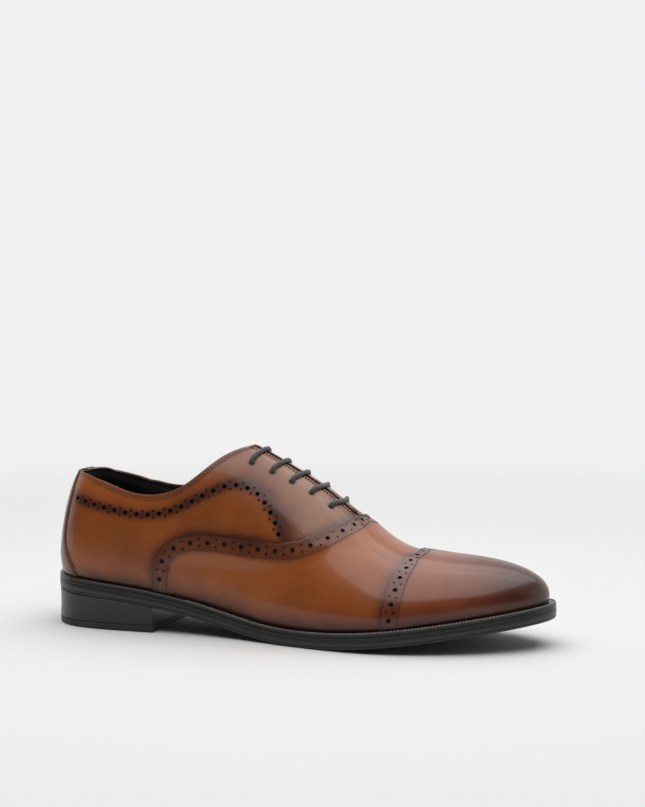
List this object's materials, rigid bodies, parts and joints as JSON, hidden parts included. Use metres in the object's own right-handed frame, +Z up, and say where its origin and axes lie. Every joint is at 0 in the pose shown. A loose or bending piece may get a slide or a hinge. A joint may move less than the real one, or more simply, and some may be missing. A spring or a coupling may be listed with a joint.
{
  "type": "oxford shoe",
  "caption": "Closed-lacing leather oxford with wing seam, punched toe cap, welt, stacked heel, blind eyelets, straight-bar lace and hinged tongue.",
  "frame": {"origin": "centre of the shoe's plan outline, on the ground under the heel and the ball", "axes": "+X from heel to toe, +Y towards the inner (medial) side of the right foot, +Z up"},
  "size_m": [0.3025, 0.0985, 0.109],
  "materials": {
    "brown_calf": "glossy smooth calf, hand burnished",
    "burnished_calf": "glossy smooth calf, dark burnish",
    "lining_leather": "matt",
    "fibre_board": "matt fibre board",
    "cork": "matt granulated cork",
    "black_sole": "semi-gloss edge dressing",
    "black_rubber": "matt",
    "steel": "brushed",
    "brass": "plain",
    "waxed_cotton": "waxed",
    "thread": "matt"
  },
  "bodies": {
    "shoe": {"outsole": "black_sole", "welt": "black_sole", "insole": "fibre_board", "sock_lining": "lining_leather", "cork_filler": "cork", "shank_board": "fibre_board", "steel_shank": "steel", "heel_stack": "black_sole", "heel_top_piece": "black_rubber", "heel_nail_1": "brass", "heel_nail_2": "brass", "heel_nail_3": "brass", "heel_nail_4": "brass", "heel_nail_5": "brass", "vamp": "brown_calf", "toe_cap": "burnished_calf", "quarter_lateral": "brown_calf", "quarter_medial": "brown_calf", "back_strap": "burnished_calf", "quarter_lining_lateral": "lining_leather", "quarter_lining_medial": "lining_leather", "vamp_lining": "lining_leather", "toe_puff": "fibre_board", "heel_counter": "fibre_board", "facing_stay_lateral": "fibre_board", "facing_stay_medial": "fibre_board", "lace": "waxed_cotton", "aglet_lateral": "steel", "aglet_medial": "steel", "throat_bartack": "thread", "eyelet_lateral_1": "brass", "eyelet_lateral_2": "brass", "eyelet_lateral_3": "brass", "eyelet_lateral_4": "brass", "eyelet_lateral_5": "brass", "eyelet_medial_1": "brass", "eyelet_medial_2": "brass", "eyelet_medial_3": "brass", "eyelet_medial_4": "brass", "eyelet_medial_5": "brass"},
    "tongue": {"tongue": "brown_calf"}
  },
  "joints": [
    {"name": "tongue_hinge", "type": "hinge", "parent": "shoe", "child": "tongue", "pos_m": [0.0291, 0.00735, 0.06376], "axis": [0, -1, 0], "range_deg": [0, 12], "stiffness_Nm_per_rad": 0.05}
  ]
}
